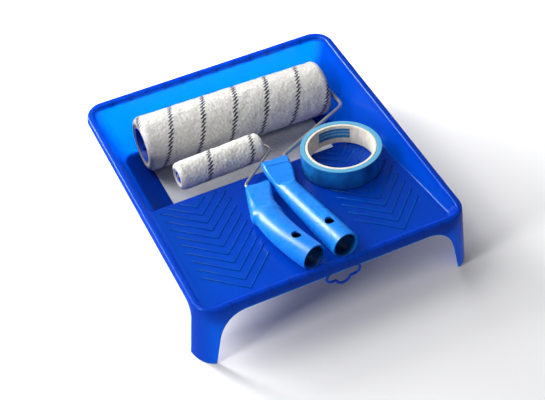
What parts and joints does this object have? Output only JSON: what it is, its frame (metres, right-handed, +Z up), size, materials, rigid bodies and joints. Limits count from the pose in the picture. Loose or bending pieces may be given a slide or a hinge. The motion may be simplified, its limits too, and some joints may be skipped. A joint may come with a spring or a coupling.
{
  "type": "paint roller tray",
  "caption": "Moulded paint tray with a ribbed ramp, legs and hanging loop, holding a wide roller, a mini roller, a roll of masking tape and a leaflet.",
  "frame": {"origin": "on the floor, under the middle of the box around the whole set", "axes": "+X along the tray's front edge to the right, +Y from the legs and hanging loop at the front to the deep well at the rear, +Z up"},
  "size_m": [0.334, 0.358, 0.0938],
  "materials": {
    "tray_plastic": "glossy, slightly see-through moulded plastic",
    "leaflet_paper": "printed grey paper",
    "pile_fabric": "off-white woven pile with navy zigzag stripes",
    "core_tube": "plain tube",
    "plug_plastic": "moulded",
    "wire_steel": "zinc-plated wire",
    "grip_plastic": "glossy moulded plastic",
    "tape_paper": "creped masking tape",
    "tape_cardboard": "wound cardboard core",
    "label_paper": "plain printed label"
  },
  "bodies": {
    "tray": {"tray": "tray_plastic", "leaflet": "leaflet_paper"},
    "large_roller_frame": {"large_roller_wire": "wire_steel", "large_roller_handle": "grip_plastic", "large_roller_push_nut": "wire_steel", "large_roller_stop_washer": "plug_plastic"},
    "large_roller_sleeve": {"large_roller_pile": "pile_fabric", "large_roller_core": "core_tube", "large_roller_left_plug": "plug_plastic", "large_roller_right_plug": "plug_plastic"},
    "mini_roller_frame": {"mini_roller_wire": "wire_steel", "mini_roller_handle": "grip_plastic", "mini_roller_push_nut": "wire_steel", "mini_roller_stop_washer": "plug_plastic"},
    "mini_roller_sleeve": {"mini_roller_pile": "pile_fabric", "mini_roller_core": "core_tube", "mini_roller_left_plug": "plug_plastic", "mini_roller_right_plug": "plug_plastic"},
    "tape_roll": {"tape_core": "tape_cardboard", "tape_winding": "tape_paper", "tape_core_label": "label_paper"}
  },
  "joints": [
    {"name": "large_roller_lift", "type": "slide", "parent": "tray", "child": "large_roller_frame", "axis": [0, 0, 1], "range_m": [0, 0.15]},
    {"name": "large_roller_spin", "type": "hinge", "parent": "large_roller_frame", "child": "large_roller_sleeve", "pos_m": [0.0097, 0.125, 0.0372], "axis": [0.9998, -0.0209, 0], "continuous": true},
    {"name": "mini_roller_lift", "type": "slide", "parent": "tray", "child": "mini_roller_frame", "axis": [0, 0, 1], "range_m": [0, 0.12]},
    {"name": "mini_roller_spin", "type": "hinge", "parent": "mini_roller_frame", "child": "mini_roller_sleeve", "pos_m": [-0.0406, 0.0506, 0.048], "axis": [0.9995, 0.0323, 0], "continuous": true},
    {"name": "tape_lift", "type": "slide", "parent": "tray", "child": "tape_roll", "axis": [0, 0, 1], "range_m": [0, 0.1]}
  ]
}
